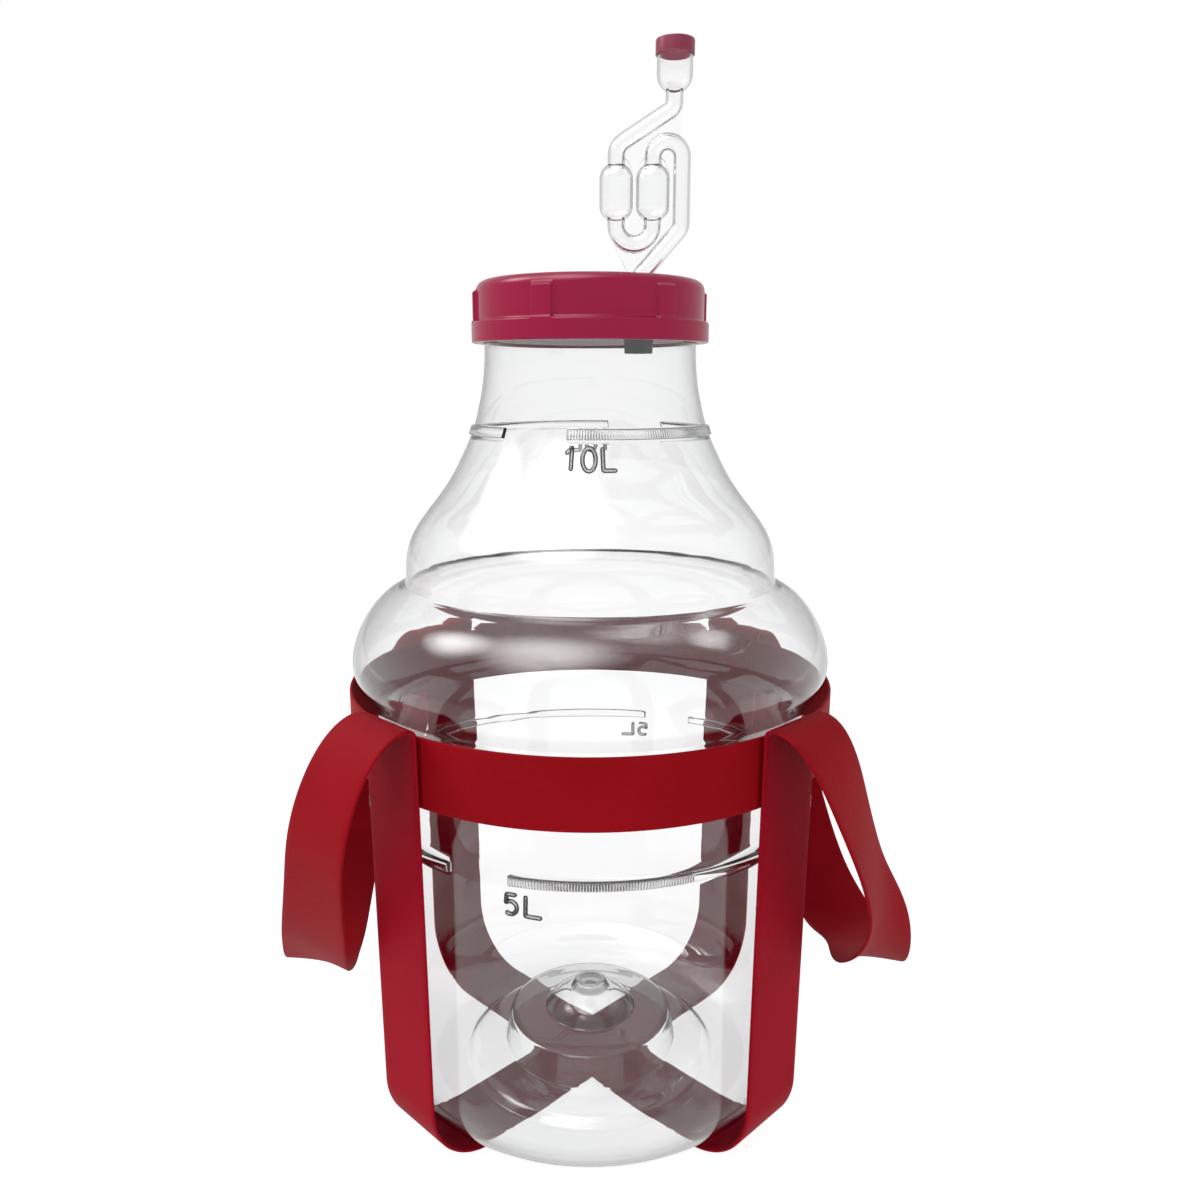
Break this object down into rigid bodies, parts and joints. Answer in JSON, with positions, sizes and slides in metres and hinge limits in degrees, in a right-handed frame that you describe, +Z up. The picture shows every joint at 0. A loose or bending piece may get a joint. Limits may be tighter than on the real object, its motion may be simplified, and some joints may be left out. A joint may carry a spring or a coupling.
{
  "type": "fermentation jar with airlock",
  "caption": "Clear fermentation jar with a stepped shoulder, screw lid, rubber bung and bulb airlock, standing in a red webbing harness with hanging carrying handles.",
  "frame": {"origin": "on the jar's axis, in the plane that the jar and its harness stand on", "axes": "+Z up along the jar's axis, -Y towards the side on which the level marks are read, +X towards the bung and the airlock's cup"},
  "size_m": [0.3143, 0.2348, 0.4932],
  "materials": {
    "jar_plastic": "clear blown plastic",
    "belt_webbing": "woven polypropylene webbing",
    "strap_webbing": "woven polypropylene webbing",
    "lid_plastic": "satin moulded plastic",
    "insert_plastic": "natural moulded plastic",
    "seal_rubber": "pale rubber",
    "bung_rubber": "grey rubber",
    "airlock_plastic": "clear moulded plastic",
    "cap_plastic": "moulded plastic"
  },
  "bodies": {
    "jar": {"vessel": "jar_plastic", "belt": "belt_webbing", "strap_lower": "strap_webbing", "strap_upper": "strap_webbing"},
    "seal": {"rim_seal": "seal_rubber"},
    "insert": {"lid_insert": "insert_plastic"},
    "screw_lid": {"lid": "lid_plastic"},
    "stopper": {"bung": "bung_rubber"},
    "fermentation_lock": {"airlock": "airlock_plastic"},
    "dust_cap": {"airlock_cap": "cap_plastic"},
    "left_handle": {"handle_left": "strap_webbing"},
    "right_handle": {"handle_right": "strap_webbing"}
  },
  "joints": [
    {"name": "lid_lift_off", "type": "slide", "parent": "jar", "child": "seal", "axis": [0, 0, 1], "range_m": [0, 0.06]},
    {"name": "lid_rise", "type": "slide", "parent": "seal", "child": "insert", "axis": [0, 0, 1], "range_m": [0, 0.01]},
    {"name": "lid_turn", "type": "hinge", "parent": "insert", "child": "screw_lid", "pos_m": [0, 0, 0.3655], "axis": [0, 0, 1], "range_deg": [0, 540]},
    {"name": "bung_pull", "type": "slide", "parent": "screw_lid", "child": "stopper", "axis": [0, 0, 1], "range_m": [0, 0.04]},
    {"name": "airlock_turn", "type": "hinge", "parent": "stopper", "child": "fermentation_lock", "pos_m": [0.0222, 0, 0.3925], "axis": [0, 0, 1], "range_deg": [-180, 180]},
    {"name": "cap_lift", "type": "slide", "parent": "fermentation_lock", "child": "dust_cap", "axis": [0, 0, 1], "range_m": [0, 0.012]},
    {"name": "left_handle_swing", "type": "hinge", "parent": "jar", "child": "left_handle", "pos_m": [-0.099, 0, 0.212], "axis": [0, 1, 0], "range_deg": [0, 150]},
    {"name": "right_handle_swing", "type": "hinge", "parent": "jar", "child": "right_handle", "pos_m": [0.099, 0, 0.212], "axis": [0, -1, 0], "range_deg": [0, 150]}
  ],
  "couplings": [
    {"joint": "lid_rise", "follows": "lid_turn", "m_per_rad": 0.000955}
  ]
}
